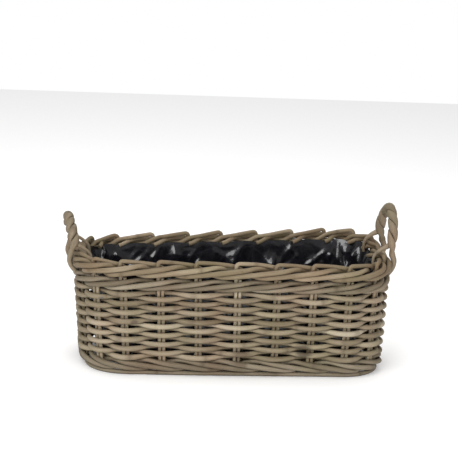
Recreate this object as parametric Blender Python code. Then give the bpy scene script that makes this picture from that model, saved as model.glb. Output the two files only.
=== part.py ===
"""Basket plant pot cover: a long woven rattan window-box basket with two twisted ear handles and a film liner.

Metres, +Z up, the long side along X, the front towards -Y. The basket stands on its foot hoop at z = 0.
Each rattan rod is its own object, and rods pass each other with a small clearance, as woven rods do.
"""

import math

import bpy
import numpy as np

# Outline of the basket, measured over the border rods at the rim.
RIM_LENGTH = 0.576
RIM_WIDTH = 0.266
RIM_CORNER_RADIUS = 0.088
FOOT_INSET_END = 0.0120
FOOT_INSET_SIDE = 0.0125
FOOT_SHIFT = 0.0080  # the foot lies this far to the right of the rim's middle, as the basket leans a little

# Unevenness of the hand-made rim: it rises towards the right end, and towards the back right corner most.
RIM_TILT = 0.0070
RIM_TWIST = 0.0075

# Stakes: pairs of upright rods, evenly spaced along each long side, closer together round each end.
SIDE_STAKES = 7
END_STAKES = 5
FRONT_STAKE_SPACING = 0.068
BACK_STAKE_SPACING = 0.065
BACK_STAKE_SHIFT = 0.0055  # the back's stakes stand this far to the left of the middle
STAKE_RADIUS = 0.0032
PAIR_GAP = 0.0006

# Weave.
ROW_COUNT = 15
ROW_PITCH = 0.0083
WEAVER_RADIUS = 0.0043
WALE_RADIUS = 0.0039
FOOT_HOOP_RADIUS = 0.0042
FOOT_HOOP_SPACE = 0.0012

# Where rods of the weave begin and end, counted in stakes. Each row's seam lies some stakes on from the last one's.
FIRST_SEAM = 15
SEAM_STEP = 7
FOOT_WALE_SEAM = 14
TOP_WALE_SEAM = 17
HOOP_SEAM = 19.5

# Border: each stake's long leg turned down behind one stake, in front of two and cut off behind the next.
BORDER_RADIUS = 0.0042
BORDER_DROP_INSIDE = 0.0070
BORDER_BEND = 0.0050
TIP_DROP = 0.0034
TIP_CUT = 0.03  # share of a span by which the cut tip stops short of the leg it lies behind

# Twisted ear handles, one at each end.
HANDLE_LEG_SPACING = 0.092
LEFT_HANDLE_HEIGHT = 0.068
RIGHT_HANDLE_HEIGHT = 0.082
LEFT_HANDLE_LEAN = 0.0180
RIGHT_HANDLE_LEAN = 0.0175
HANDLE_STRAND_RADIUS = 0.0046
HANDLE_TURNS = 4
HANDLE_RINGS_PER_TURN = 7
HANDLE_TAIL = 0.045
HANDLE_FORK = 0.016
HANDLE_NECK = 0.82  # share of the legs' spread that is left one strand above the rim
TWIST_ROOM = 1.15  # a strand winds round its partner, which needs this much more room than lying beside it

# Base lattice and film liner.
BASE_STICK_COUNT = 3
BASE_STICK_RADIUS = 0.0045
BASE_WEAVER_RADIUS = 0.0035
BASE_PASSES = 14
BASE_CORNER_SHARE = 0.75  # share of the corner radius at each end that the base's weave leaves open
BASE_GROUND_SPACE = 0.0010
LINER_WALL = 0.0012
LINER_EDGE_BELOW_BORDER = 0.0015

# Clearance between rods that cross, between stacked layers of the wall, and between the sloping border rods.
CLEARANCE = 0.0004
LAYER_CLEARANCE = 0.0008
BORDER_CLEARANCE = 0.0010

ROD_SIDES = 6
FLAT = math.cos(math.pi / ROD_SIDES)  # half height of a rod whose section lies on a flat, over its radius
SLANT_ROOM = 1.09  # a border rod slants past the stakes at up to 23 degrees, which needs this much more room
MITRE_LEAST = 0.8  # cosine at which a bend's ring stops growing wider, so that a sharp bend has no spike

STAKE_BROWN = (0.30, 0.24, 0.16)
WEAVER_GREY = (0.36, 0.31, 0.23)
WALE_BROWN = (0.32, 0.27, 0.19)
HANDLE_STRAW = (0.38, 0.31, 0.19)
FILM_BLACK = (0.010, 0.010, 0.012)

STAKE_COUNT = 2 * (SIDE_STAKES + END_STAKES)
PAIR_HALF = STAKE_RADIUS + PAIR_GAP / 2
BORDER_OFFSET = (2 * BORDER_RADIUS + CLEARANCE) * SLANT_ROOM
BORDER_REACH = BORDER_OFFSET + BORDER_RADIUS

# Heights, from the ground up.
FOOT_HOOP_Z = FOOT_HOOP_RADIUS * FLAT
WALE_STEP = 2 * WALE_RADIUS * FLAT + LAYER_CLEARANCE
FOOT_WALE_LOW = 2 * FOOT_HOOP_Z + FOOT_HOOP_SPACE + WALE_RADIUS * FLAT
FOOT_WALE_HIGH = FOOT_WALE_LOW + 2 * WALE_STEP
ROW_TO_WALE = (WEAVER_RADIUS + WALE_RADIUS) * FLAT + LAYER_CLEARANCE
FIRST_ROW = FOOT_WALE_HIGH + ROW_TO_WALE
LAST_ROW = FIRST_ROW + (ROW_COUNT - 1) * ROW_PITCH
TOP_WALE_LOW = LAST_ROW + ROW_TO_WALE
TOP_WALE_HIGH = TOP_WALE_LOW + 2 * WALE_STEP
BORDER_STEP = 2 * BORDER_RADIUS * FLAT + BORDER_CLEARANCE
DIVE = TOP_WALE_HIGH + WALE_RADIUS * FLAT + BORDER_RADIUS + LAYER_CLEARANCE
BORDER_LOW = DIVE + BORDER_STEP / 2
INSIDE_LOW = BORDER_LOW + BORDER_STEP - TIP_DROP
INSIDE_HIGH = INSIDE_LOW + 2 * BORDER_RADIUS + BORDER_CLEARANCE
BORDER_BEND_Z = INSIDE_HIGH + BORDER_DROP_INSIDE
RIM_HEIGHT = BORDER_BEND_Z + BORDER_RADIUS * FLAT
LEG_TOP = BORDER_LOW - 2 * BORDER_RADIUS * FLAT

LINER_TOP = BORDER_LOW - LINER_EDGE_BELOW_BORDER

HALF_LENGTH = RIM_LENGTH / 2 - BORDER_REACH
HALF_WIDTH = RIM_WIDTH / 2 - BORDER_REACH
CORNER = RIM_CORNER_RADIUS - BORDER_REACH


def remove_all_objects():
    for obj in list(bpy.data.objects):
        bpy.data.objects.remove(obj, do_unlink=True)


def outline_point(distance):
    """Point on the rim's stake line, a rounded rectangle, this far round from the middle of the front."""
    straight_x = HALF_LENGTH - CORNER
    straight_y = HALF_WIDTH - CORNER
    left = (distance + straight_x) % outline_length()
    corners = ((1, -1), (1, 1), (-1, 1), (-1, -1))
    for turn, (across, along) in enumerate(corners):
        length = 2 * (straight_y if turn % 2 else straight_x)
        centre = np.array([across * straight_x, along * straight_y])
        heading = turn * math.pi / 2
        ahead = np.array([math.cos(heading), math.sin(heading)])
        aside = np.array([math.sin(heading), -math.cos(heading)])
        if left <= length:
            return centre + CORNER * aside - (length - left) * ahead
        left -= length
        if left <= CORNER * math.pi / 2:
            angle = left / CORNER
            return centre + CORNER * (math.cos(angle) * aside + math.sin(angle) * ahead)
        left -= CORNER * math.pi / 2
    return centre + CORNER * ahead


def outline_length():
    straight = 4 * (HALF_LENGTH - CORNER) + 4 * (HALF_WIDTH - CORNER)
    return straight + 2 * math.pi * CORNER


def stake_distances():
    """Distance of each stake pair along the outline, starting at the left end of the front side."""
    front = (SIDE_STAKES - 1) * FRONT_STAKE_SPACING
    back = (SIDE_STAKES - 1) * BACK_STAKE_SPACING
    front_start = -front / 2
    back_start = outline_length() / 2 - back / 2 + BACK_STAKE_SHIFT
    sides = (
        (front_start, FRONT_STAKE_SPACING, back_start),
        (back_start, BACK_STAKE_SPACING, front_start + outline_length()),
    )
    places = []
    for start, spacing, next_start in sides:
        side = (SIDE_STAKES - 1) * spacing
        end_gap = (next_start - start - side) / (END_STAKES + 1)
        places += [start + i * spacing for i in range(SIDE_STAKES)]
        places += [start + side + (i + 1) * end_gap for i in range(END_STAKES)]
    return places


def stake_corners():
    """The rim's stake points, each with the vector that moves it out by one unit square to both its spans."""
    points = [outline_point(place) for place in stake_distances()]
    corners = []
    for i, point in enumerate(points):
        sides = [point - points[i - 1], points[(i + 1) % len(points)] - point]
        normals = [np.array([side[1], -side[0]]) / np.linalg.norm(side) for side in sides]
        outward = (normals[0] + normals[1]) / (1 + normals[0] @ normals[1])
        corners.append((point, outward))
    return corners


STAKES = stake_corners()


def wall_point(u, out, z):
    """Point u stakes along the wall, moved out from the stake line, at height z."""
    first = math.floor(u)
    share = u - first
    here, outward_a = STAKES[first % STAKE_COUNT]
    there, outward_b = STAKES[(first + 1) % STAKE_COUNT]
    inset = 1 - z / RIM_HEIGHT
    scale = np.array([1 - inset * FOOT_INSET_END / HALF_LENGTH, 1 - inset * FOOT_INSET_SIDE / HALF_WIDTH])
    point = (here * (1 - share) + there * share) * scale
    point = point + (outward_a * (1 - share) + outward_b * share) * out
    return np.array([point[0] + inset * FOOT_SHIFT, point[1], z + lift(point[0], point[1], z)])


def lift(x, y, z):
    """How much the uneven wall stands above the even one here. The foot and its wale stay level."""
    along = x / HALF_LENGTH
    share = min(max((z - FOOT_WALE_HIGH) / (RIM_HEIGHT - FOOT_WALE_HIGH), 0), 1)
    return share * (RIM_TILT * along + RIM_TWIST * along * y / HALF_WIDTH)


def outward(u):
    """Level direction out of the wall at u."""
    return wall_point(u, 1.0, 0.0) - wall_point(u, 0.0, 0.0)


def span(u):
    """Distance between the stakes on either side of u, at the rim."""
    first = math.floor(u)
    return float(np.linalg.norm(STAKES[first % STAKE_COUNT][0] - STAKES[(first + 1) % STAKE_COUNT][0]))


def steps(u, distance):
    """How many stakes along a short distance is, at u."""
    return distance / span(u)


def tangents_of(points):
    ahead = np.diff(np.array(points), axis=0)
    ahead = ahead / np.linalg.norm(ahead, axis=1)[:, None]
    tangents = np.vstack([ahead[:1], ahead[:-1] + ahead[1:], ahead[-1:]])
    return tangents / np.linalg.norm(tangents, axis=1)[:, None], ahead


def square_to(side, tangent):
    """The part of a vector that is square to a tangent, one unit long."""
    side = side - tangent * (side @ tangent)
    return side / np.linalg.norm(side)


def carried_sides(points, side):
    """A side vector for each ring, carried along the path with no twist."""
    sides = []
    for tangent in tangents_of(points)[0]:
        side = square_to(side, tangent)
        sides.append(side)
    return sides


def rod(name, points, radii, sides, colour):
    """A closed rod along the points, with a radius and a side vector for each ring.

    A ring across a bend stands wider, so that the rod keeps its thickness on both sides of it.
    """
    tangents, ahead = tangents_of(points)
    vertices = []
    for i, point in enumerate(points):
        side = square_to(np.array(sides[i], float), tangents[i])
        across = np.cross(tangents[i], side)
        bend = ahead[min(i, len(ahead) - 1)] - ahead[max(i - 1, 0)]
        length = np.linalg.norm(bend)
        widen = 0.0
        if length > 1e-6:
            bend = bend / length
            widen = 1 / max(float(ahead[i] @ tangents[i]), MITRE_LEAST) - 1
        for k in range(ROD_SIDES):
            angle = 2 * math.pi * k / ROD_SIDES
            offset = radii[i] * (math.cos(angle) * side + math.sin(angle) * across)
            vertices.append(point + offset + bend * (offset @ bend) * widen)
    faces = []
    for i in range(len(points) - 1):
        for k in range(ROD_SIDES):
            a = i * ROD_SIDES + k
            b = i * ROD_SIDES + (k + 1) % ROD_SIDES
            faces.append((a, b, b + ROD_SIDES, a + ROD_SIDES))
    faces.append(tuple(range(ROD_SIDES))[::-1])
    last = (len(points) - 1) * ROD_SIDES
    faces.append(tuple(range(last, last + ROD_SIDES)))
    return add_mesh(name, vertices, faces, colour)


def add_mesh(name, vertices, faces, colour):
    mesh = bpy.data.meshes.new(name)
    mesh.from_pydata([tuple(v) for v in vertices], [], faces)
    mesh.materials.append(make_material(name, colour))
    obj = bpy.data.objects.new(name, mesh)
    parts_collection().objects.link(obj)
    return obj


def parts_collection():
    name = "basket_plant_pot_cover"
    if name not in bpy.data.collections:
        bpy.context.scene.collection.children.link(bpy.data.collections.new(name))
    return bpy.data.collections[name]


def make_material(name, colour):
    material = bpy.data.materials.new(name + "_finish")
    material.use_nodes = True
    shader = material.node_tree.nodes["Principled BSDF"]
    shader.inputs["Base Color"].default_value = (*colour, 1)
    shader.inputs["Roughness"].default_value = 0.25 if colour == FILM_BLACK else 0.7
    return material


def swing(radius, u):
    """How far out a rod bows at a stake pair's middle to clear both rods of the pair on its slanting way across.

    Where the wall turns, the bow's peak lies further from the pair's outer rod, so the bow is made deeper.
    """
    clear = STAKE_RADIUS + radius + CLEARANCE
    tightest = min(span(u), span(u - 0.5)) * (1 - FOOT_INSET_SIDE / HALF_WIDTH)
    turn = math.sqrt(max(float(STAKES[round(u) % STAKE_COUNT][1] @ STAKES[round(u) % STAKE_COUNT][1]) - 1, 0))
    out = clear
    for _ in range(8):
        across = PAIR_HALF + out * turn
        out = clear * math.hypot(1, 2 * out / tightest) / (1 - 2 * across / (tightest + out * turn))
    return out


def widest_bow(radius):
    return max(swing(radius, k) for k in range(STAKE_COUNT))


def leg_place(place):
    """Where the border legs' line is at this many stakes along: each pair's left rod at a whole number."""
    first = math.floor(place)
    share = place - first
    here = first - steps(first - 0.5, PAIR_HALF)
    there = first + 1 - steps(first + 0.5, PAIR_HALF)
    return here * (1 - share) + there * share


def add_stake(index):
    """One rod bent double at the foot. The right leg stops under the border and the left one makes the border."""
    left = leg_place(index)
    right = index + steps(index, PAIR_HALF)
    hairpin = 2 * FOOT_HOOP_Z + CLEARANCE + STAKE_RADIUS
    points = [wall_point(right, 0, LEG_TOP)]
    points.append(wall_point(right, 0, hairpin + PAIR_HALF))
    points.append(wall_point(index, 0, hairpin))
    points.append(wall_point(left, 0, hairpin + PAIR_HALF))
    points.append(wall_point(left, 0, LEG_TOP))
    points.append(wall_point(left, 0, LEG_TOP + BORDER_RADIUS))
    for angle in (0, math.pi / 4, math.pi / 2):
        along = BORDER_BEND * (1 - math.cos(angle))
        z = BORDER_BEND_Z - BORDER_BEND * (1 - math.sin(angle))
        points.append(wall_point(left + steps(index, along), 0, z))
    route = (
        (0.5, -BORDER_OFFSET, (BORDER_BEND_Z + INSIDE_HIGH) / 2),
        (1.0, -BORDER_OFFSET, INSIDE_HIGH),
        (1.5, 0.0, DIVE),
        (2.0, BORDER_OFFSET, BORDER_LOW),
        (3.0, BORDER_OFFSET, BORDER_LOW + BORDER_STEP),
        (3.5, 0.0, BORDER_LOW + BORDER_STEP * 1.5),
        (4 - TIP_CUT, -BORDER_OFFSET, INSIDE_LOW),
    )
    upright = len(points)
    points += [wall_point(leg_place(index + along), out, z) for along, out, z in route]
    radii = [STAKE_RADIUS] * 5 + [BORDER_RADIUS] * (len(points) - 5)
    sides = [outward(index)] * upright + [outward(leg_place(index + along)) for along, out, z in route]
    rod(f"stake_{index + 1:02d}", points, radii, sides, STAKE_BROWN)


def add_weaver(row):
    """One row: a rod once round the basket, in front of every second pair, its ends butting behind a pair."""
    z = FIRST_ROW + row * ROW_PITCH
    seam = (FIRST_SEAM + row * SEAM_STEP) % STAKE_COUNT
    seam += (seam + row + 1) % 2
    end = steps(seam, WEAVER_RADIUS / 4)
    points = []
    for k in range(STAKE_COUNT + 1):
        u = seam + k
        u += end if k == 0 else 0
        u -= end if k == STAKE_COUNT else 0
        out = swing(WEAVER_RADIUS, seam + k) * (-1 if k % 2 == 0 else 1)
        points.append(wall_point(u, out, z))
    level_rod(f"weaver_{row + 1:02d}", points, WEAVER_RADIUS, WEAVER_GREY)


def level_rod(name, points, radius, colour):
    """A rod that lies on a flat of its section all the way along."""
    sides = [np.cross(tangent, (0, 0, 1)) for tangent in tangents_of(points)[0]]
    return rod(name, points, [radius] * len(points), sides, colour)


def add_wale(name, strand, low, high, rising, seam):
    """One of three rods worked together: in front of two pairs and behind one, each above the last in turn."""
    middle = (low + high) / 2
    rise = (high - low) / 2 * (1 if rising else -1)
    cycle = (
        (0.0, 0, -1.0),
        (0.5, 1, -0.5),
        (1.5, 1, 0.5),
        (2.0, 0, 1.0),
        (2.5, -1, 0.0),
    )
    points = []
    begin = seam + strand + 0.5
    turns = STAKE_COUNT // 3
    for turn in range(turns):
        for along, out, level in cycle:
            u = begin + 3 * turn + along
            points.append(wall_point(u, out * swing(WALE_RADIUS, round(u)), middle + rise * level))
    u = begin + 3 * turns - steps(begin, 2 * WALE_RADIUS)
    points.append(wall_point(u, -steps(begin, 4 * WALE_RADIUS) * swing(WALE_RADIUS, u), middle - rise))
    level_rod(name, points, WALE_RADIUS, WALE_BROWN)


def add_foot_hoop():
    """A closed hoop under the wall, its two ends butting between two stakes."""
    gap = steps(HOOP_SEAM, FOOT_HOOP_RADIUS)
    points = [wall_point(HOOP_SEAM + gap, 0, FOOT_HOOP_Z)]
    points += [wall_point(math.ceil(HOOP_SEAM) + k, 0, FOOT_HOOP_Z) for k in range(STAKE_COUNT)]
    points.append(wall_point(HOOP_SEAM + STAKE_COUNT, 0, FOOT_HOOP_Z))
    level_rod("foot_hoop", points, FOOT_HOOP_RADIUS, WALE_BROWN)


def add_handle(side_name, sign, height, lean):
    """Two strands twisted together into an ear. Each leg forks: one strand outside the border, one inside it."""
    twist = HANDLE_STRAND_RADIUS * TWIST_ROOM + CLEARANCE
    wall = max(BORDER_REACH, swing(WALE_RADIUS, SIDE_STAKES + 1) + WALE_RADIUS)
    half = HANDLE_LEG_SPACING / 2
    outside = wall + HANDLE_STRAND_RADIUS + CLEARANCE
    fork_top = RIM_HEIGHT + HANDLE_FORK
    rise = height - HANDLE_FORK - HANDLE_STRAND_RADIUS - twist
    ring_count = HANDLE_TURNS * HANDLE_RINGS_PER_TURN
    for letter, phase in (("a", 0.0), ("b", math.pi)):
        leg_out = outside if letter == "a" else -outside
        tail = RIM_HEIGHT - HANDLE_TAIL if letter == "a" else INSIDE_LOW
        leg = (
            (leg_out, tail),
            (leg_out, RIM_HEIGHT - BORDER_RADIUS),
            (leg_out * HANDLE_NECK, RIM_HEIGHT + HANDLE_STRAND_RADIUS),
        )
        points = [handle_point(sign, -half, z, out, height, lean) for out, z in leg]
        for i in range(ring_count + 1):
            angle = phase + 2 * math.pi * HANDLE_TURNS * i / ring_count
            y, z, up_y, up_z = arch_point(i / ring_count, half, rise)
            out = twist * math.cos(angle)
            across = twist * math.sin(angle)
            point = handle_point(sign, y + up_y * across, fork_top + z + up_z * across, out, height, lean)
            points.append(point)
        points += [handle_point(sign, half, z, out, height, lean) for out, z in reversed(leg)]
        sides = carried_sides(points, np.array([sign, 0.0, 0.0]))
        radii = [HANDLE_STRAND_RADIUS] * len(points)
        rod(f"{side_name}_handle_strand_{letter}", points, radii, sides, HANDLE_STRAW)


def arch_point(share, half, rise):
    """Point this share of the way over the handle's half ellipse, with the direction away from its middle."""
    angle = math.pi * (1 - share)
    y = half * math.cos(angle)
    z = rise * math.sin(angle)
    up = np.array([math.cos(angle) / half, math.sin(angle) / rise])
    up = up / np.linalg.norm(up)
    return y, z, up[0], up[1]


def end_wall(sign, y):
    """How far from the middle an end wall's stake line is at the rim, at a handle's legs and in line with them."""
    first = SIDE_STAKES if sign > 0 else 2 * SIDE_STAKES + END_STAKES
    ends = sorted((point[1], abs(point[0])) for point, _ in STAKES[first : first + END_STAKES])
    half = HANDLE_LEG_SPACING / 2
    legs = np.interp((-half, half), [end[0] for end in ends], [end[1] for end in ends])
    share = (y / half + 1) / 2
    return float(legs[0] * (1 - share) + legs[1] * share)


def handle_point(sign, y, z, out, height, lean):
    """A point on a handle: it leans outwards above the rim."""
    over = max(z - RIM_HEIGHT, 0) / height
    below = max(1 - z / RIM_HEIGHT, 0)
    wall = end_wall(sign, y)
    x = sign * (wall - below * FOOT_INSET_END + out + lean * over)
    return np.array([x + below * FOOT_SHIFT, y, z + lift(sign * wall, y, z)])


def base_reach():
    """Half length and half width of the base, inside the foot wale."""
    wall = widest_bow(WALE_RADIUS) + WALE_RADIUS + CLEARANCE
    reach_x = HALF_LENGTH - FOOT_INSET_END - wall
    reach_y = HALF_WIDTH - FOOT_INSET_SIDE - wall - BASE_WEAVER_RADIUS
    return reach_x, reach_y


def base_swing():
    """Height of the base weaver over a stick's middle, with room for its slope on either side."""
    clear = BASE_STICK_RADIUS + BASE_WEAVER_RADIUS + CLEARANCE
    spacing = 2 * base_reach()[1] / (BASE_STICK_COUNT + 1)
    return clear * math.hypot(1, 2 * clear / spacing)


def base_height():
    """Height of the base's middle, with its weave just clear of the ground."""
    return BASE_GROUND_SPACE + BASE_WEAVER_RADIUS + base_swing()


def add_base():
    """Lengthwise sticks and one long rod woven to and fro across them."""
    reach_x, reach_y = base_reach()
    middle = base_height()
    spacing = 2 * reach_y / (BASE_STICK_COUNT + 1)
    rows = [-reach_y + spacing * (i + 1) for i in range(BASE_STICK_COUNT)]
    for i, y in enumerate(rows):
        ends = [np.array([FOOT_SHIFT + x, y, middle]) for x in (-reach_x, reach_x)]
        level_rod(f"base_stick_{i + 1}", ends, BASE_STICK_RADIUS, STAKE_BROWN)
    corner = RIM_CORNER_RADIUS * BASE_CORNER_SHARE
    pitch = 2 * (reach_x - corner) / (BASE_PASSES - 1)
    points = []
    over = 1
    for turn in range(BASE_PASSES):
        x = FOOT_SHIFT - (reach_x - corner) + turn * pitch
        order = rows if turn % 2 == 0 else rows[::-1]
        heading = 1 if turn % 2 == 0 else -1
        points.append(np.array([x, -heading * reach_y, middle]))
        for y in order:
            points.append(np.array([x, y, middle + over * base_swing()]))
            over = -over
        points.append(np.array([x, heading * reach_y, middle]))
        over = over if BASE_STICK_COUNT % 2 else -over
    radii = [BASE_WEAVER_RADIUS] * len(points)
    rod("base_weave", points, radii, carried_sides(points, np.array([1.0, 0.0, 0.0])), WEAVER_GREY)


def add_liner():
    """The film liner as a thin open tub, from the base up to the underside of the border."""
    bottom = base_height() + base_swing() + BASE_WEAVER_RADIUS + CLEARANCE
    clear = [swing(WEAVER_RADIUS, k) + WEAVER_RADIUS + CLEARANCE for k in range(STAKE_COUNT)]
    rings = (
        (0.0, bottom),
        (0.0, LINER_TOP),
        (LINER_WALL, LINER_TOP),
        (LINER_WALL, bottom + LINER_WALL),
    )
    vertices = []
    for wall, z in rings:
        vertices += [wall_point(k, -clear[k] - wall, z) for k in range(STAKE_COUNT)]
    n = STAKE_COUNT
    faces = [tuple(range(n))[::-1]]
    for ring in range(3):
        for k in range(n):
            a = ring * n + k
            b = ring * n + (k + 1) % n
            faces.append((a, b, b + n, a + n))
    faces.append(tuple(range(3 * n, 4 * n)))
    add_mesh("liner", vertices, faces, FILM_BLACK)


def build():
    remove_all_objects()
    add_foot_hoop()
    for strand in range(3):
        add_wale(f"foot_wale_{strand + 1}", strand, FOOT_WALE_LOW, FOOT_WALE_HIGH, False, FOOT_WALE_SEAM)
        add_wale(f"top_wale_{strand + 1}", strand, TOP_WALE_LOW, TOP_WALE_HIGH, True, TOP_WALE_SEAM)
    for index in range(STAKE_COUNT):
        add_stake(index)
    for row in range(ROW_COUNT):
        add_weaver(row)
    add_base()
    add_liner()
    add_handle("left", -1, LEFT_HANDLE_HEIGHT, LEFT_HANDLE_LEAN)
    add_handle("right", 1, RIGHT_HANDLE_HEIGHT, RIGHT_HANDLE_LEAN)


build()
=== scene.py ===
"""Basket plant pot cover: the woven rattan basket dressed for rendering on the fixed frame.

Metres, +Z up, the long side along X, the front towards -Y. Every rod of the weave is a piece of its own,
and a place on the wall is given by u (stakes along the wall), out (off the stake line) and z (height).
"""

import math

import bmesh
import bpy
import numpy as np
from mathutils import Matrix, Vector


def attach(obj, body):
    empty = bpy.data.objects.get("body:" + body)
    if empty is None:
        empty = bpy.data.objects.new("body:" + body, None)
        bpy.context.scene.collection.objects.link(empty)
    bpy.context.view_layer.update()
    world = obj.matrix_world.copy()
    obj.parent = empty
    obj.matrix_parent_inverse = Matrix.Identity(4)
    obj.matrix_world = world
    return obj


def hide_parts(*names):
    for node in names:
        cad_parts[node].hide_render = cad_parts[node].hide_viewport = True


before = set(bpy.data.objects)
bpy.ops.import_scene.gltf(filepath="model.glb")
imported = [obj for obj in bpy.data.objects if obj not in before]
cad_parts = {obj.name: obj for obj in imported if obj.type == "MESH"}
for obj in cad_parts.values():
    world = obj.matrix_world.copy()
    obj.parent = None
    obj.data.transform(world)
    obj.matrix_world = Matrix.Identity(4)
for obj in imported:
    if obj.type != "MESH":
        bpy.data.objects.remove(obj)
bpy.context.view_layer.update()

bl_info = {
    "name": "Basket plant pot cover",
    "version": (1, 0, 0),
    "blender": (4, 5, 0),
    "location": "View3D > Sidebar > Basket",
    "description": "Builds a woven rattan pot cover with twisted ear handles and a film liner",
    "category": "Object",
}

# Layout of the frame's wall, in metres: the stake line at the rim, and heights off the ground.
HALF_LENGTH = 0.274208
HALF_WIDTH = 0.119208
CORNER = 0.074208
FOOT_INSET_END = 0.012
FOOT_INSET_SIDE = 0.0125
FOOT_SHIFT = 0.008
RIM_HEIGHT = 0.211502
SIDE_STAKES = 7
END_STAKES = 5
STAKE_COUNT = 24
FRONT_STAKE_SPACING = 0.068
BACK_STAKE_SPACING = 0.065
BACK_STAKE_SHIFT = 0.0055
PAIR_HALF = 0.0035
FOOT_HOOP_Z = 0.003637
FOOT_WALE = (0.011852, 0.026962)
FIRST_ROW = 0.034864
ROW_PITCH = 0.0083
ROW_COUNT = 15
TOP_WALE = (0.158965, 0.174075)
DIVE = 0.182452
BORDER_LOW = 0.18659
BORDER_STEP = 0.008275
BORDER_OFFSET = 0.009592
INSIDE_LOW = 0.191464
INSIDE_HIGH = 0.200864
BORDER_BEND_Z = 0.207864
BORDER_BEND = 0.0055
LEG_TOP = 0.179315

# The handles: half their width, their fork and their tails off the rim, and how each rope leans, twists and thins.
HANDLE_HALF = 0.046
HANDLE_FORK = 0.004
HANDLE_TAIL = 0.039
HANDLE_RIM_OUT = 0.01
LEFT_HANDLE_LEAN = 0.0235
RIGHT_HANDLE_LEAN = 0.018
LEFT_HANDLE_SKEW = -0.0025
RIGHT_HANDLE_SKEW = 0.003
HANDLE_TURNS = 4
HANDLE_PRESS = 0.2
HANDLE_TAPER = 0.68
INNER_LEG_TAPER = 0.46

# The woven floor.
BASE_Z = 0.01355
BASE_REACH = (0.2453, 0.0858)
BASE_CORNER = 0.066
BASE_PASSES = 14
BASE_STICK_RADIUS = 0.0044
BASE_WEAVE_RADIUS = 0.0035
BASE_WEAVE_SWING = 0.0088

# The liner film: it stands off the weave, runs up behind the cut tips of the border and ends there.
LINER_BOTTOM = 0.027
LINER_TOP = 0.1916
FILM_TOP_OUT = -0.0136
FILM_TUCKED_Z = 0.1784
FILM_EDGE_STAKES = (0, 0.1, 0.28, 0.7, 0.79, 1)
FILM_EDGE_RISE = (0, 0, 0.0026, 0.0026, 0, 0)
FILM_END_RISE = 2.3
FILM_GRID = (460, 42)
FILM_FLOOR_RINGS = ((0.96, 0.6), (0.9, 0.35), (0.82, 0.15), (0.7, 0), (0.55, 0), (0.38, 0), (0.2, 0))
FILM_GAP = 0.0008
FILM_SMOOTH_ANGLE = 24
FOLD_COUNT = 60
TIP_OUT = -0.0178

# How the film settles: frames, the form's distance from the film at rest, and the solver's settings.
SETTLE_FRAMES = 16
FORM_GAP = 0.001
FILM_CLOTH = {
    "quality": 6,
    "mass": 0.08,
    "tension_stiffness": 20,
    "compression_stiffness": 20,
    "shear_stiffness": 10,
    "bending_stiffness": 0.8,
    "air_damping": 4,
    "vertex_group_mass": "edge",
}
FILM_TOUCH = {"collision_quality": 3, "distance_min": 0.0006, "use_self_collision": False}

# How this hand-made basket leaves the even layout: its rim rises towards the back right corner.
RIM_TWIST = 0.0075
RIM_TILT = 0.007
STAKE_NUDGE_MM = (0, -2, -3, 0, 3, 1, -2, 1, -1, 2, 0, -1, 1, -2, 1, 2, -1, 0, 1, -1, 1, 0, -2, 1)

# Stains of the front wall: place, reach in metres and sRGB hex.
STAINS = (
    ((0.125, -0.122, 0.048), 0.02, "3F3528"),
    ((0.013, -0.121, 0.036), 0.022, "5A4B3A"),
    ((-0.239, -0.118, 0.139), 0.009, "3C3A4A"),
    ((-0.164, -0.127, 0.131), 0.009, "4A3C2E"),
    ((-0.178, -0.125, 0.098), 0.009, "54453A"),
)

# Each kind of rod: its material's name and brightness.
RATTANS = {
    "stake": ("Kubu rattan stake, mud-soaked", 1.06),
    "weaver": ("Kubu rattan weaver, mud-soaked", 0.9),
    "wale": ("Kubu rattan wale, mud-soaked", 0.66),
    "handle": ("Kubu rattan handle, twisted", 0.8),
}

# Rods as drawn: sides of the section, the joints' swelling, sizes that the layout doesn't give, and how much lighter
# or duller some stretches are: painted light on the uprights, painted shade on the border rods, and the foot lighter.
SIDES = 12
ROD_SMOOTH_ANGLE = 50
JOINT_SWELL = 0.07
JOINT_REACH = 0.004
WEAVER_SAG = 0.0011
HOOP_RADIUS = 0.0041
BAND_LIFT = 0.001
UPRIGHT_PAINTED_LIGHT = 0.04
BORDER_PAINTED_SHADE = 0.19
FOOT_BRIGHT = 0.07

# Studio: each softbox's name, place, size and watts; and the photograph's camera, fitted to the rim, stakes and foot.
SOFTBOXES = (
    ("key softbox", (-1.3, -2.0, 1.5), 1.6, 40),
    ("front softbox", (0.5, -2.6, 0.7), 1.6, 26),
    ("top softbox", (0.0, 0.6, 2.2), 2.0, 20),
)
LAMP_TARGET = Vector((0, 0, 0.1))
CAMERA_PLACE = (-0.4085, -3.1365, 0.9915)
CAMERA_TURN = (7.34, 13.32, 3.03)
CAMERA_FOCAL_PIXELS = 1796.5
PHOTO_PIXELS = 458
SENSOR_MM = 36


def metres(name, description, default, least=0.001):
    """A length for the panel."""
    return bpy.props.FloatProperty(
        name=name, description=description, default=default, min=least, subtype="DISTANCE", unit="LENGTH"
    )


def hex_colour(name, description, default):
    """A colour for the panel, as an sRGB hex value."""
    return bpy.props.StringProperty(name=name, description=description + ", sRGB hex", default=default)


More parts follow.
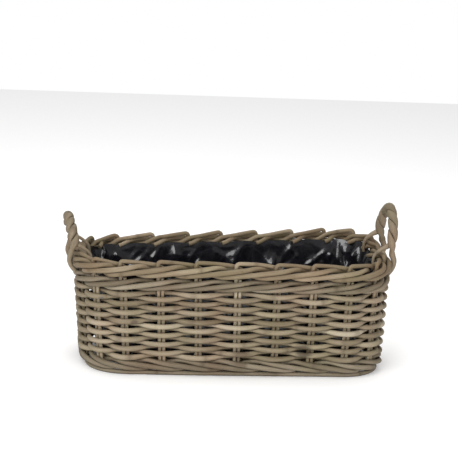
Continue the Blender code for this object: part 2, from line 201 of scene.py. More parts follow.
class BasketSizes(bpy.types.PropertyGroup):
    """Sizes and colours of the basket's rods and film."""

    stake_radius: metres("Stake radius", "Radius of the upright rods", 0.0032)
    weaver_radius: metres("Weaver radius", "Radius of a wall weaver between two stakes", 0.0039)
    weaver_swell: bpy.props.FloatProperty(
        name="Weaver swell",
        description="How much thicker a weaver stands in front of a stake",
        default=1.2,
        min=1.0,
        max=1.5,
        subtype="FACTOR",
    )
    weaver_bow: metres("Weaver bow", "How far a weaver bows out past the stakes", 0.0084, 0.0)
    wale_radius: metres("Wale radius", "Radius of the three-rod bands", 0.0043)
    border_radius: metres("Border radius", "Radius of the border rods outside the stakes", 0.0046)
    handle_radius: metres("Handle strand radius", "Radius of a handle strand", 0.0061)
    left_height: metres("Left handle height", "Height of the left handle above the rim", 0.065, 0.04)
    right_height: metres("Right handle height", "Height of the right handle above the rim", 0.0805, 0.04)
    crease_depth: metres("Film crease depth", "Depth of the folds in the liner film", 0.006, 0.0)
    pale: hex_colour("Pale rattan", "Dry outer skin of the rods", "BBB09B")
    tan: hex_colour("Tan rattan", "Body colour of the rods", "9F917B")
    brown: hex_colour("Brown rattan", "Soaked and stained stretches", "73654F")
    film: hex_colour("Liner film", "Film of the liner", "0C0C0F")


def sizes():
    """The scene's sizes and colours, as set in the panel."""
    return bpy.context.scene.basket_sizes


def linear(code):
    """Linear colour of an sRGB hex value."""
    values = [int(code[i : i + 2], 16) / 255 for i in (0, 2, 4)]
    return tuple(v / 12.92 if v <= 0.04045 else ((v + 0.055) / 1.055) ** 2.4 for v in values) + (1.0,)


# Wall layout


def outline_length():
    """The way once round the rim's stake line."""
    return 4 * (HALF_LENGTH - CORNER) + 4 * (HALF_WIDTH - CORNER) + 2 * math.pi * CORNER


def outline(distance):
    """Points and outward normals on the rim's stake line, this far round from the middle of the front."""
    straight = (HALF_LENGTH - CORNER, HALF_WIDTH - CORNER)
    left = np.mod(np.asarray(distance, float) + straight[0], outline_length())
    points = np.zeros(left.shape + (2,))
    normals = np.zeros(left.shape + (2,))
    start = 0.0
    for turn, (across, along) in enumerate(((1, -1), (1, 1), (-1, 1), (-1, -1))):
        length = 2 * straight[turn % 2]
        centre = np.array([across * straight[0], along * straight[1]])
        heading = turn * math.pi / 2
        ahead = np.array([math.cos(heading), math.sin(heading)])
        aside = np.array([math.sin(heading), -math.cos(heading)])
        flat = (left >= start) & (left <= start + length)
        points[flat] = centre + CORNER * aside - (start + length - left[flat])[:, None] * ahead
        normals[flat] = aside
        start += length
        bend = (left > start) & (left < start + CORNER * math.pi / 2)
        angle = ((left[bend] - start) / CORNER)[:, None]
        normals[bend] = np.cos(angle) * aside + np.sin(angle) * ahead
        points[bend] = centre + CORNER * normals[bend]
        start += CORNER * math.pi / 2
    return points, normals


def stake_places():
    """Distance of each stake pair round the outline, with the small unevenness of hand work."""
    front_start = -(SIDE_STAKES - 1) * FRONT_STAKE_SPACING / 2
    back_start = outline_length() / 2 - (SIDE_STAKES - 1) * BACK_STAKE_SPACING / 2 + BACK_STAKE_SHIFT
    sides = (
        (front_start, FRONT_STAKE_SPACING, back_start),
        (back_start, BACK_STAKE_SPACING, front_start + outline_length()),
    )
    places = []
    for start, spacing, next_start in sides:
        side = (SIDE_STAKES - 1) * spacing
        end_gap = (next_start - start - side) / (END_STAKES + 1)
        places += [start + i * spacing for i in range(SIDE_STAKES)]
        places += [start + side + (i + 1) * end_gap for i in range(END_STAKES)]
    return np.array(places) + np.array(STAKE_NUDGE_MM) / 1000


PLACES = stake_places()


def distance_at(u):
    """Distance round the outline at u stakes along."""
    u = np.asarray(u, float)
    turns = np.floor(u / STAKE_COUNT)
    knots = np.append(PLACES, PLACES[0] + outline_length())
    return np.interp(u - turns * STAKE_COUNT, np.arange(STAKE_COUNT + 1), knots) + turns * outline_length()


def steps(u, distance):
    """How many stakes along a short distance is, at u."""
    return distance / float(distance_at(math.floor(u) + 1) - distance_at(math.floor(u)))


def lift(x, y, z):
    """How much higher the uneven wall stands here than an even one. The foot and its wale stay level."""
    rise = RIM_TILT * x / HALF_LENGTH + RIM_TWIST * (x / HALF_LENGTH) * (y / HALF_WIDTH)
    return rise * np.clip((z - FOOT_WALE[1]) / (RIM_HEIGHT - FOOT_WALE[1]), 0, 1)


def wall(u, out, z):
    """Points on the wall: arrays of stakes along, offset out of the stake line, and height."""
    u, out, z = np.broadcast_arrays(np.asarray(u, float), np.asarray(out, float), np.asarray(z, float))
    points, normals = outline(distance_at(u).reshape(-1))
    inset = (1 - z / RIM_HEIGHT).reshape(-1)
    x = points[:, 0] * (1 - inset * FOOT_INSET_END / HALF_LENGTH) + normals[:, 0] * out.reshape(-1)
    y = points[:, 1] * (1 - inset * FOOT_INSET_SIDE / HALF_WIDTH) + normals[:, 1] * out.reshape(-1)
    level = z.reshape(-1)
    return np.stack([x + inset * FOOT_SHIFT, y, level + lift(x, y, level)], axis=1)


def wavering(count, seed, reach, size):
    """A smooth wandering value for each of count rings, turning over about every `reach` rings."""
    rng = np.random.default_rng(seed)
    knots = rng.normal(0, size, max(int(count / reach) + 3, 4))
    places = np.linspace(0, len(knots) - 1.001, count)
    first = places.astype(int)
    share = places - first
    share = share * share * (3 - 2 * share)
    return knots[first] * (1 - share) + knots[first + 1] * share


def lerp(t, start, end, first, last):
    """The value at t on the way from the first, at start, to the last, at end."""
    return (end - t) / (end - start) * first + (t - start) / (end - start) * last


def smooth_path(points, gap):
    """Points a gap apart on a rounded curve through the given ones."""
    points = np.asarray(points, float)
    ends = np.vstack([2 * points[0] - points[1], points, 2 * points[-1] - points[-2]])
    found = []
    for i in range(1, len(ends) - 2):
        p0, p1, p2, p3 = ends[i - 1 : i + 3]
        times = [0.0]
        for here, there in ((p0, p1), (p1, p2), (p2, p3)):
            times.append(times[-1] + max(np.linalg.norm(there - here), 1e-6) ** 0.5)
        t0, t1, t2, t3 = times
        count = max(int(np.linalg.norm(p2 - p1) / gap), 1)
        for k in range(count):
            t = t1 + (t2 - t1) * k / count
            a1 = lerp(t, t0, t1, p0, p1)
            a2 = lerp(t, t1, t2, p1, p2)
            a3 = lerp(t, t2, t3, p2, p3)
            b1 = lerp(t, t0, t2, a1, a2)
            b2 = lerp(t, t1, t3, a2, a3)
            found.append(lerp(t, t1, t2, b1, b2))
    found.append(points[-1])
    return np.array(found)


# Rods


def rod(node, kind, points, radii, tones, seed, press=None):
    """A rattan rod for a node: a poly curve with a round bevel made a mesh, then flattened and given its joints."""
    bpy.ops.object.select_all(action="DESELECT")
    bpy.ops.curve.primitive_bezier_curve_add(location=(0, 0, 0))
    obj = bpy.context.object
    obj.name = node + "_rattan"
    curve = obj.data
    curve.dimensions = "3D"
    curve.twist_mode = "MINIMUM"
    curve.splines.clear()
    spline = curve.splines.new("POLY")
    spline.points.add(len(points) - 1)
    spline.points.foreach_set("co", np.hstack([points, np.ones((len(points), 1))]).ravel())
    spline.points.foreach_set("radius", radii / radii.max())
    curve.bevel_depth = float(radii.max())
    curve.bevel_resolution = (SIDES - 4) // 2
    bpy.ops.object.convert(target="MESH")
    mesh = obj.data
    dress_rod(mesh, points, radii, tones, seed, press)
    mesh.materials.append(rattan(kind))
    bpy.ops.object.shade_smooth_by_angle(angle=math.radians(ROD_SMOOTH_ANGLE))
    keep(obj, node)


def dress_rod(mesh, points, radii, tones, seed, press):
    """Shapes the rings of a converted rod and writes each vertex's place on the straightened rod.

    A ring is narrowed along its press vector, and widened across it, by the share that is the vector's length.
    """
    coords = np.empty(len(mesh.vertices) * 3)
    mesh.vertices.foreach_get("co", coords)
    coords = coords.reshape(-1, 3)
    count = len(points)
    if len(coords) != count * SIDES:
        raise RuntimeError(f"{mesh.name} has {len(coords)} vertices for {count} rings")
    rings = coords.reshape(count, SIDES, 3)
    centres = rings.mean(axis=1, keepdims=True)
    offsets = rings - centres
    if press is not None:
        share = np.linalg.norm(press, axis=1)[:, None, None]
        heading = press[:, None, :] / np.maximum(share, 1e-6)
        along_press = (offsets * heading).sum(axis=2, keepdims=True) * heading
        offsets = (offsets - along_press) * (1 + share) + along_press * (1 - share)
    # A joint swells the rod every 130 to 260 mm.
    rng = np.random.default_rng(seed + 1000)
    along = np.concatenate([[0], np.cumsum(np.linalg.norm(np.diff(points, axis=0), axis=1))])
    swell = np.ones(count)
    joint = np.zeros(count)
    place = rng.uniform(0.02, 0.16)
    while place < along[-1]:
        near = np.exp(-(((along - place) / JOINT_REACH) ** 2))
        swell += JOINT_SWELL * near
        joint += near
        place += rng.uniform(0.13, 0.26)
    offsets *= swell[:, None, None]
    rings = centres + offsets
    mesh.vertices.foreach_set("co", rings.reshape(-1))
    angle = np.arange(SIDES) * 2 * math.pi / SIDES
    place = np.zeros((count, SIDES, 3))
    place[:, :, 0] = along[:, None] + rng.uniform(0, 40)
    place[:, :, 1] = radii[:, None] * np.cos(angle)[None, :] + rng.uniform(0, 4)
    place[:, :, 2] = radii[:, None] * np.sin(angle)[None, :]
    cut_ends(mesh, count)
    add_attribute(mesh, "rod_place", "FLOAT_VECTOR", place.reshape(-1))
    add_attribute(mesh, "tone", "FLOAT", np.repeat(tones, SIDES))
    add_attribute(mesh, "joint", "FLOAT", np.repeat(joint, SIDES))
    mesh.update()


def cut_ends(mesh, count):
    """Closes the first and the last ring with the flat cut of the rod's end."""
    shape = bmesh.new()
    shape.from_mesh(mesh)
    shape.verts.ensure_lookup_table()
    for first in (0, (count - 1) * SIDES):
        face = shape.faces.new([shape.verts[first + k] for k in range(SIDES)])
        face.smooth = False
    bmesh.ops.recalc_face_normals(shape, faces=shape.faces[:])
    shape.to_mesh(mesh)
    shape.free()


def add_attribute(mesh, name, kind, values):
    """Gives each vertex of the mesh its value."""
    attribute = mesh.attributes.new(name, kind, "POINT")
    attribute.data.foreach_set("vector" if kind == "FLOAT_VECTOR" else "value", values)


def keep(obj, node):
    """Stands the piece for its node of the frame."""
    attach(obj, "root")
    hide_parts(node)


# Materials


def add_node(tree, kind, settings=None, links=None, values=None):
    """Adds a shader node of this kind with its settings, its socket values and its links."""
    node = tree.nodes.new("ShaderNode" + kind)
    for key, value in (settings or {}).items():
        setattr(node, key, value)
    for key, value in (values or {}).items():
        node.inputs[key].default_value = value
    for key, source in (links or {}).items():
        tree.links.new(source, node.inputs[key])
    return node


def ramp(tree, value, stops):
    """Colours by a value, through a ramp's stops."""
    node = add_node(tree, "ValToRGB", links={"Fac": value})
    elements = node.color_ramp.elements
    for i, (place, colour) in enumerate(stops):
        element = elements[i] if i < len(elements) else elements.new(place)
        element.position = place
        element.color = colour
    return node.outputs["Color"]


def maths(tree, operation, links, values=None):
    """One sum, product or other operation on values."""
    return add_node(tree, "Math", {"operation": operation}, links, values).outputs[0]


def stretched(tree, place, scale):
    """A place scaled by its own share along each axis."""
    return add_node(tree, "Mapping", links={"Vector": place}, values={"Scale": scale}).outputs[0]


def noise(tree, place, scale, detail, roughness=0.5):
    """Smooth noise over a place, from 0 to 1."""
    values = {"Scale": scale, "Detail": detail, "Roughness": roughness}
    return add_node(tree, "TexNoise", links={"Vector": place}, values=values).outputs["Fac"]


def remap(tree, value, source, target):
    """A value taken from one range to another and held inside it."""
    values = {"From Min": source[0], "From Max": source[1], "To Min": target[0], "To Max": target[1]}
    return add_node(tree, "MapRange", links={"Value": value}, values=values).outputs[0]


def mix(tree, links, values, blend="MIX"):
    """Colours A and B mixed by Factor."""
    settings = {"data_type": "RGBA", "blend_type": blend}
    return add_node(tree, "Mix", settings, links, values).outputs["Result"]


def new_material(name):
    """A new material, with its tree and its shader."""
    material = bpy.data.materials.new(name)
    material.use_nodes = True
    return material, material.node_tree, material.node_tree.nodes["Principled BSDF"]


def rattan(kind):
    """Kubu rattan, soaked in river mud and dried whole: matt grey tan, with fine lengthwise fibre, dark joints and
    painted shade in its crevices.
    """
    name, brightness = RATTANS[kind]
    if name in bpy.data.materials:
        return bpy.data.materials[name]
    s = sizes()
    material, tree, shader = new_material(name)
    place = add_node(tree, "Attribute", {"attribute_name": "rod_place"}).outputs["Vector"]
    tone = add_node(tree, "Attribute", {"attribute_name": "tone"}).outputs["Fac"]
    joint = add_node(tree, "Attribute", {"attribute_name": "joint"}).outputs["Fac"]
    where = add_node(tree, "TexCoord").outputs["Object"]
    # Fibre bundles are 0.4 to 0.8 mm wide and run on for 30 to 60 mm.
    fibre = noise(tree, stretched(tree, place, (22, 1500, 1500)), 1.0, 4.0, 0.65)
    # Soaked stretches change along a rod every 40 to 90 mm.
    stain = noise(tree, stretched(tree, place, (16, 90, 90)), 1.0, 3.0, 0.55)
    # Whole stretches of the wall, 60 to 120 mm across, are a little greener or pinker.
    patch = noise(tree, where, 9.0, 2.0)
    mixed = maths(tree, "MULTIPLY_ADD", {0: fibre, 2: tone}, {1: 0.34})
    mixed = maths(tree, "MULTIPLY_ADD", {0: stain, 2: mixed}, {1: 0.42})
    stops = ((0.18, linear(s.brown)), (0.52, linear(s.tan)), (0.88, linear(s.pale)))
    colour = ramp(tree, mixed, stops)
    green = remap(tree, patch, (0.5, 0.68), (0, 0.5))
    colour = mix(tree, {"Factor": green, "A": colour}, {"B": linear("E6EBD6")}, "MULTIPLY")
    pink = remap(tree, patch, (0.5, 0.36), (0, 0.6))
    colour = mix(tree, {"Factor": pink, "A": colour}, {"B": linear("F6E6DE")}, "MULTIPLY")
    # Mud specks are 0.5 to 1.5 mm across, and mud stays on the joints.
    speck = noise(tree, stretched(tree, place, (300, 700, 700)), 1.0, 1.0)
    muddy = maths(tree, "MULTIPLY_ADD", {0: joint, 2: remap(tree, speck, (0.66, 0.74), (0, 0.45))}, {1: 0.45})
    muddy = maths(tree, "MINIMUM", {0: muddy}, {1: 0.8})
    colour = mix(tree, {"Factor": muddy, "A": colour}, {"B": linear("4A3C2C")})
    colour = add_node(tree, "HueSaturation", links={"Color": colour}, values={"Value": brightness}).outputs["Color"]
    for spot, size, hue in STAINS:
        away = add_node(tree, "VectorMath", {"operation": "DISTANCE"}, {0: where}, {1: spot}).outputs["Value"]
        ragged = maths(tree, "MULTIPLY_ADD", {0: stain, 2: away}, {1: size})
        mask = remap(tree, ragged, (size * 1.5, size), (0, 0.75))
        colour = mix(tree, {"Factor": mask, "A": colour}, {"B": linear(hue)})
    # Painted shade: near black-brown where rods crowd round, for the shade and the river mud in the crevices.
    open_share = add_node(tree, "AmbientOcclusion", {"samples": 6}, values={"Distance": 0.008}).outputs["AO"]
    unshaded = remap(tree, open_share, (0.12, 0.72), (0.22, 1))
    colour = mix(tree, {"Factor": unshaded, "B": colour}, {"A": linear("2E251B")})
    tree.links.new(colour, shader.inputs["Base Color"])
    tree.links.new(remap(tree, fibre, (0, 1), (0.5, 0.8)), shader.inputs["Roughness"])
    shader.inputs["Specular IOR Level"].default_value = 0.35
    bump = add_node(tree, "Bump", links={"Height": fibre}, values={"Strength": 0.5, "Distance": 0.0006})
    tree.links.new(bump.outputs[0], shader.inputs["Normal"])
    return material


def film():
    """Polythene film, blown and folded: near black and glossy, with hard creases and soft scuffed ridges."""
    name = "Polythene film, blown and creased"
    if name in bpy.data.materials:
        return bpy.data.materials[name]
    material, tree, shader = new_material(name)
    where = add_node(tree, "TexCoord").outputs["Object"]
    # Crease facets are 15 to 40 mm across.
    cells = add_node(tree, "TexVoronoi", {"feature": "DISTANCE_TO_EDGE"}, {"Vector": where}, {"Scale": 34.0})
    facets = cells.outputs["Distance"]
    crease = remap(tree, facets, (0, 0.06), (1, 0))
    fine = noise(tree, where, 60.0, 5.0, 0.6)
    colour = ramp(tree, fine, ((0.3, linear(sizes().film)), (0.75, linear("1A1A1F"))))
    scuff = maths(tree, "MULTIPLY", {0: crease, 1: fine})
    colour = mix(tree, {"Factor": scuff, "A": colour}, {"B": linear("24242A")})
    tree.links.new(colour, shader.inputs["Base Color"])
    tree.links.new(remap(tree, fine, (0, 1), (0.1, 0.28)), shader.inputs["Roughness"])
    shader.inputs["IOR"].default_value = 1.65
    height = maths(tree, "MULTIPLY_ADD", {0: facets, 2: fine}, {1: 1.6})
    bump = add_node(tree, "Bump", links={"Height": height}, values={"Strength": 0.25, "Distance": 0.002})
    tree.links.new(bump.outputs[0], shader.inputs["Normal"])
    return material


# Wall pieces


def along_of(index, share):
    """Where a stake's border leg is, this many stakes further on: each pair's left rod at a whole number."""
    place = index + share
    first = math.floor(place)
    part = place - first
    here = first - steps(first - 0.5, PAIR_HALF)
    there = first + 1 - steps(first + 0.5, PAIR_HALF)
    return here * (1 - part) + there * part


def hairpin(index):
    """The pair's own route: down its right leg, round the foot and up its left leg."""
    s = sizes()
    left = along_of(index, 0)
    right = index + steps(index, PAIR_HALF)
    low = 2 * FOOT_HOOP_Z + 0.0004 + s.stake_radius
    places = [(right, LEG_TOP - 0.0002)]
    places += [(right, z) for z in np.linspace(LEG_TOP - 0.012, low + 0.012, 8)]
    slant = steps(index, PAIR_HALF * 0.7)
    places += [(right, low + PAIR_HALF), (index + slant, low + PAIR_HALF * 0.3), (index, low)]
    places += [(index - slant, low + PAIR_HALF * 0.3), (left, low + PAIR_HALF)]
    places += [(left, z) for z in np.linspace(low + 0.012, LEG_TOP + 0.004, 8)]
    u, z = np.transpose(places)
    return wall(u, 0.0, z)


def border_route(index):
    """The long leg's route over the rim: bent down, behind one pair, in front of two, and cut off inside."""
    left = along_of(index, 0)
    rng = np.random.default_rng(40 + index)
    top = BORDER_BEND_Z + rng.uniform(-0.0006, 0.0008)
    sag = rng.uniform(0.0, 0.0014)
    turns = [math.radians(angle) for angle in range(0, 91, 15)]
    places = [(left, 0.0, LEG_TOP + 0.016)]
    for a in turns:
        past = steps(index, BORDER_BEND * (1 - math.cos(a)))
        places.append((left + past, -0.0012 * a / turns[-1], top - BORDER_BEND * (1 - math.sin(a))))
    # Stakes on, out and height: down behind the first pair, outside two pairs, and in again over the film.
    route = (
        (0.35, -0.005, top - 0.0012 - sag * 0.5),
        (0.65, -0.0086, top - 0.0032 - sag),
        (0.88, -BORDER_OFFSET + 0.0004, top - 0.0055 - sag * 0.6),
        (1.0, -BORDER_OFFSET, INSIDE_HIGH - 0.0006),
        (1.25, -BORDER_OFFSET * 0.7, (INSIDE_HIGH + DIVE) / 2),
        (1.5, 0.0, DIVE + 0.003),
        (1.75, BORDER_OFFSET * 0.8, BORDER_LOW - 0.0012),
        (2.0, BORDER_OFFSET, BORDER_LOW + 0.0008),
        (2.5, BORDER_OFFSET * 1.05, BORDER_LOW + BORDER_STEP * 0.6),
        (3.0, BORDER_OFFSET, BORDER_LOW + BORDER_STEP * 1.17),
        (3.25, BORDER_OFFSET * 0.7, BORDER_LOW + BORDER_STEP * 1.43),
        (3.5, 0.0004, BORDER_LOW + BORDER_STEP * 1.6),
        (3.72, -BORDER_OFFSET * 0.95, BORDER_LOW + BORDER_STEP * 1.27),
        (3.86, TIP_OUT + 0.0016, INSIDE_LOW + 0.0026),
    )
    places += [(along_of(index, share), out, z) for share, out, z in route]
    tip = along_of(index, 4.0) + rng.uniform(-0.02, 0.03)
    places.append((tip, TIP_OUT, INSIDE_LOW - rng.uniform(0.0, 0.001)))
    return wall(*np.transpose(places))


def make_stake(index):
    """One pair of uprights with the border strand that its left leg turns into."""
    s = sizes()
    upright = smooth_path(hairpin(index), 0.006)
    border = smooth_path(border_route(index), 0.003)
    points = np.vstack([upright, border])
    legs = len(upright)
    over = s.border_radius * 0.82
    outside = (over, over, s.border_radius, s.border_radius, over)
    radii = np.full(len(points), s.stake_radius)
    radii[legs:] = np.interp(np.linspace(0, 1, len(border)), (0, 0.3, 0.42, 0.85, 1), outside)
    radii[legs - 3 : legs] = (s.stake_radius + over) / 2
    radii *= 1 + wavering(len(points), 70 + index, 12, 0.03)
    tones = np.random.default_rng(index).normal(-0.02, 0.07) + wavering(len(points), 90 + index, 30, 0.05)
    # Painted light: the uprights are lightened against the shade they stand in behind the weavers.
    tones[:legs] += UPRIGHT_PAINTED_LIGHT
    # Painted shade: the border rods are darkened for the shade in the gaps between them.
    tones[legs:] -= BORDER_PAINTED_SHADE
    rod(f"stake_{index + 1:02d}", "stake", points, radii, tones, index)


def make_weaver(row):
    """One row of the wall: in front of every second pair, thicker and a little lower where it bows out."""
    s = sizes()
    # The ends butt behind a pair, at a different pair in each row.
    seam = (row * 7 + 15) % STAKE_COUNT
    seam += (seam + row + 1) % 2
    per_span = 12
    count = STAKE_COUNT * per_span + 1
    gap = steps(seam, s.weaver_radius / 3)
    u = seam + np.linspace(gap, STAKE_COUNT - gap, count)
    front = -np.cos(math.pi * (u - seam))
    bow = np.sign(front) * np.abs(front) ** 0.85 * s.weaver_bow
    z = FIRST_ROW + row * ROW_PITCH - WEAVER_SAG * np.clip(front, 0, 1) + 0.0003
    z = z + wavering(count, 300 + row, 14, 0.00022)
    radii = s.weaver_radius * (1 + (s.weaver_swell - 1) * np.clip(front, 0, 1) ** 0.7)
    # Tone and thickness change every 4 to 8 spans, as where a new rod was pieced in.
    tones = np.zeros(count)
    rng = np.random.default_rng(500 + row)
    begin = 0
    while begin < STAKE_COUNT:
        length = 2 * int(rng.integers(2, 5))
        here = slice(begin * per_span, (begin + length) * per_span + 1)
        tones[here] = rng.normal(0.02, 0.1)
        radii[here] *= 1 + rng.normal(0, 0.045)
        begin += length
    tones += wavering(count, 700 + row, 20, 0.03)
    radii *= 1 + wavering(count, 900 + row, 9, 0.02)
    points = wall(u, bow + wavering(count, 1100 + row, 10, 0.0002), z)
    rod(f"weaver_{row + 1:02d}", "weaver", points, radii, tones, row + 50)


def make_wale(name, strand, low, high, rising, seam):
    """One of three rods worked together: in front of two pairs and behind one, each above the last in turn."""
    s = sizes()
    middle = (low + high) / 2 + (BAND_LIFT if rising else 0)
    rise = (high - low) / 2 * (1 if rising else -1)
    # Stakes on, share of the bow, and level: low, on its way up, high and back inside.
    cycle = (
        (0.0, -0.15, -1.0), (0.5, 0.95, -0.6), (1.0, 1.12, 0.0),
        (1.5, 0.95, 0.6), (2.0, -0.1, 1.0), (2.5, -1.0, 0.0),
    )
    begin = seam + strand + 0.5
    turns = STAKE_COUNT // 3
    bow = s.stake_radius + s.wale_radius + 0.0004
    places = [(begin + 3 * turn + a, o * bow, middle + rise * lvl) for turn in range(turns) for a, o, lvl in cycle]
    places.append((begin + 3 * turns - steps(begin, 2 * s.wale_radius), -0.4 * bow, middle - rise))
    # A stake counts as 60 mm while the path is rounded.
    span = np.array([0.06, 1, 1])
    path = smooth_path(np.array(places) * span, 0.0055) / span
    points = wall(path[:, 0], path[:, 1], path[:, 2])
    count = len(path)
    rng = np.random.default_rng(len(name) + strand * 7 + int(low * 1e4))
    seed = strand + int(low * 1e3)
    radii = s.wale_radius * (0.98 + 0.06 * np.clip(path[:, 1] / bow, 0, 1) + wavering(count, 31 + strand, 20, 0.03))
    tones = rng.normal(0.0, 0.05) + wavering(count, 61 + seed, 26, 0.08) + (0 if rising else FOOT_BRIGHT)
    rod(name, "wale", points, radii, tones, seed + 80)


def make_foot_hoop():
    """The hoop that the basket stands on, its ends butted at the left."""
    start = STAKE_COUNT - 4.5
    u = np.linspace(start + steps(start, 0.0042), start + STAKE_COUNT, 260)
    radii = HOOP_RADIUS * (1 + wavering(len(u), 17, 24, 0.03))
    points = wall(u, wavering(len(u), 18, 20, 0.0006), radii + 0.00002)
    tones = wavering(len(u), 19, 30, 0.08) + FOOT_BRIGHT
    rod("foot_hoop", "wale", points, radii, tones, 7)


def end_line(y):
    """Rim stake line's distance from the middle of the basket at this distance off its long axis."""
    past = max(abs(y) - HALF_WIDTH + CORNER, 0)
    return HALF_LENGTH - CORNER + math.sqrt(max(CORNER**2 - past**2, 0))


def handle_point(sign, y, z, out, shape):
    """A point of a handle's leg, this far off the wall."""
    height, lean, _ = shape
    over = max(z - RIM_HEIGHT, 0) / height
    below = max(1 - z / RIM_HEIGHT, 0)
    wall_x = end_line(HANDLE_HALF) - 0.0015
    x = sign * (wall_x - below * FOOT_INSET_END + out + lean * over) + below * FOOT_SHIFT
    return np.array([x, y, z + float(lift(sign * wall_x, y, z))])


def arch_point(sign, y, z, out, shape):
    """A point of the rope above the border, which stands off the wall and has its front leg set further out."""
    height, _, skew = shape
    over = min(max(z - RIM_HEIGHT, 0) / height, 1)
    out += HANDLE_RIM_OUT * (1 - over) - skew * y / HANDLE_HALF * math.sin(math.pi * over)
    return handle_point(sign, y, z, out, shape)


def make_handle(side, sign, shape):
    """Two strands laid round each other into an ear, each leg forked over the border and worked into the wall."""
    radius = sizes().handle_radius
    twist = radius * 0.76
    fork_top = RIM_HEIGHT + HANDLE_FORK
    rise = shape[0] - HANDLE_FORK - radius - twist
    count = 48
    low = RIM_HEIGHT - HANDLE_TAIL
    # Each leg from its tail up, as out and height: strand a down the outside, strand b inside over the film.
    legs = {
        "a": [
            (0.006, low - 0.004), (0.0128, low + 0.003), (0.0185, low + 0.012),
            (0.0208, low + 0.022), (0.02, RIM_HEIGHT - 0.011), (0.0165, RIM_HEIGHT - 0.003),
        ],
        "b": [
            (-0.0166, INSIDE_LOW - 0.005), (-0.0176, INSIDE_LOW + 0.005), (-0.0162, RIM_HEIGHT - 0.005),
            (-0.0104, RIM_HEIGHT + 0.0024), (-0.004, RIM_HEIGHT + 0.0082), (0.003, RIM_HEIGHT + 0.0122),
        ],
    }
    thinning = {
        "a": ((low, RIM_HEIGHT + 0.02), (HANDLE_TAPER, 1)),
        "b": ((RIM_HEIGHT + 0.004, RIM_HEIGHT + 0.032), (INNER_LEG_TAPER, 1)),
    }
    arch = math.pi * (1 - np.arange(count + 1) / count)
    spine = [(HANDLE_HALF * math.cos(a), fork_top + rise * math.sin(a)) for a in arch]
    axis = [arch_point(sign, y, z, 0, shape) for y, z in spine]
    for letter, phase, late in (("a", 0.0, 0), ("b", math.pi, 3)):
        leg = legs[letter]
        places = [handle_point(sign, -HANDLE_HALF, z, out, shape) for out, z in leg]
        for i in range(late, count + 1 - late):
            angle = phase + 2 * math.pi * HANDLE_TURNS * i / count
            up = np.array([math.cos(arch[i]) / HANDLE_HALF, math.sin(arch[i]) / rise])
            up /= np.linalg.norm(up)
            across = twist * math.sin(angle)
            y = spine[i][0] + up[0] * across
            z = spine[i][1] + up[1] * across
            places.append(arch_point(sign, y, z, twist * math.cos(angle), shape))
        places += [handle_point(sign, HANDLE_HALF, z, out, shape) for out, z in reversed(leg)]
        points = smooth_path(places, 0.003)
        # Where the strands lie on each other, each is pressed flat towards the rope's axis.
        spokes = np.array([point - min(axis, key=lambda a: np.linalg.norm(a - point)) for point in points])
        reach = np.linalg.norm(spokes, axis=1, keepdims=True)
        press = HANDLE_PRESS * spokes / reach * np.clip(2.6 - reach / twist, 0, 1)
        seed = int(sign) + ord(letter)
        radii = radius * np.interp(points[:, 2], *thinning[letter]) * (1 + wavering(len(points), 210 + seed, 14, 0.035))
        tones = -0.02 + wavering(len(points), 230 + seed, 30, 0.06)
        rod(f"{side}_handle_strand_{letter}", "handle", points, radii, tones, seed, press)


def make_base():
    """The floor under the liner: lengthwise sticks with a rod woven to and fro across them."""
    reach_x, reach_y = BASE_REACH
    rows = [-reach_y + 2 * reach_y / 4 * (i + 1) for i in range(3)]
    for i, y in enumerate(rows):
        x = np.linspace(-reach_x, reach_x, 80)
        points = np.stack([x + FOOT_SHIFT, y + wavering(80, 5 + i, 20, 0.0004), np.full(80, BASE_Z)], axis=1)
        radii = BASE_STICK_RADIUS * (1 + wavering(80, 15 + i, 12, 0.02))
        rod(f"base_stick_{i + 1}", "stake", points, radii, np.zeros(80), i + 20)
    first = -(reach_x - BASE_CORNER)
    pitch = 2 * (reach_x - BASE_CORNER) / (BASE_PASSES - 1)
    places = []
    over = 1
    for turn in range(BASE_PASSES):
        x = FOOT_SHIFT + first + turn * pitch
        heading = 1 if turn % 2 == 0 else -1
        places.append((x, -heading * reach_y, BASE_Z))
        for y in rows[::heading]:
            places.append((x, y, BASE_Z + over * BASE_WEAVE_SWING))
            over = -over
        places.append((x, heading * reach_y, BASE_Z))
    points = smooth_path(places, 0.005)
    radii = BASE_WEAVE_RADIUS * (1 + wavering(len(points), 25, 18, 0.03))
    rod("base_weave", "weaver", points, radii, wavering(len(points), 26, 40, 0.06), 33)


# Liner


def film_folds(u, share):
    """How far the film stands in from the wall: long slanting folds over a crumple of flat facets."""
    rng = np.random.default_rng(3)
    height = LINER_TOP - LINER_BOTTOM
    folds = np.zeros((len(share), len(u)))
    for _ in range(FOLD_COUNT):
        centre = rng.uniform(0, STAKE_COUNT)
        slant = rng.normal(2.0, 0.8)
        wide = rng.uniform(0.07, 0.24)
        size = rng.uniform(0.55, 1.0)
        start = rng.uniform(-0.5, 0.5)
        stop = start + rng.uniform(0.35, 0.8)
        away = (u[None, :] - centre - slant * share[:, None] + STAKE_COUNT / 2) % STAKE_COUNT - STAKE_COUNT / 2
        fade = np.clip(np.minimum(share - start, stop - share) / 0.2, 0, 1)[:, None]
        ridge = np.clip(1 - np.abs(away) / wide, 0, 1)
        folds = np.maximum(folds, size * fade * ridge)
    along = distance_at(u)[None, :]
    down = share[:, None] * height
    crumple = np.zeros_like(folds)
    for _ in range(6):
        angle = rng.uniform(0, math.pi)
        length = rng.uniform(0.034, 0.085)
        turns = round(outline_length() * math.cos(angle) / length)
        phase = turns * along / outline_length() + down * math.sin(angle) / length + rng.uniform(0, 1)
        crumple += np.abs((phase % 1) - 0.5) * length * rng.uniform(0.06, 0.17)
    # From the held edge the fullness comes in over 2 to 26 % of the height, changing every third of a stake.
    reach = np.random.default_rng(8).uniform(0.02, 0.26, 72)
    reach = np.interp(u, np.linspace(0, STAKE_COUNT, 73), np.append(reach, reach[0]))
    return (folds * sizes().crease_depth + crumple) * np.clip((share[:, None] - 0.01) / reach[None, :], 0, 1)


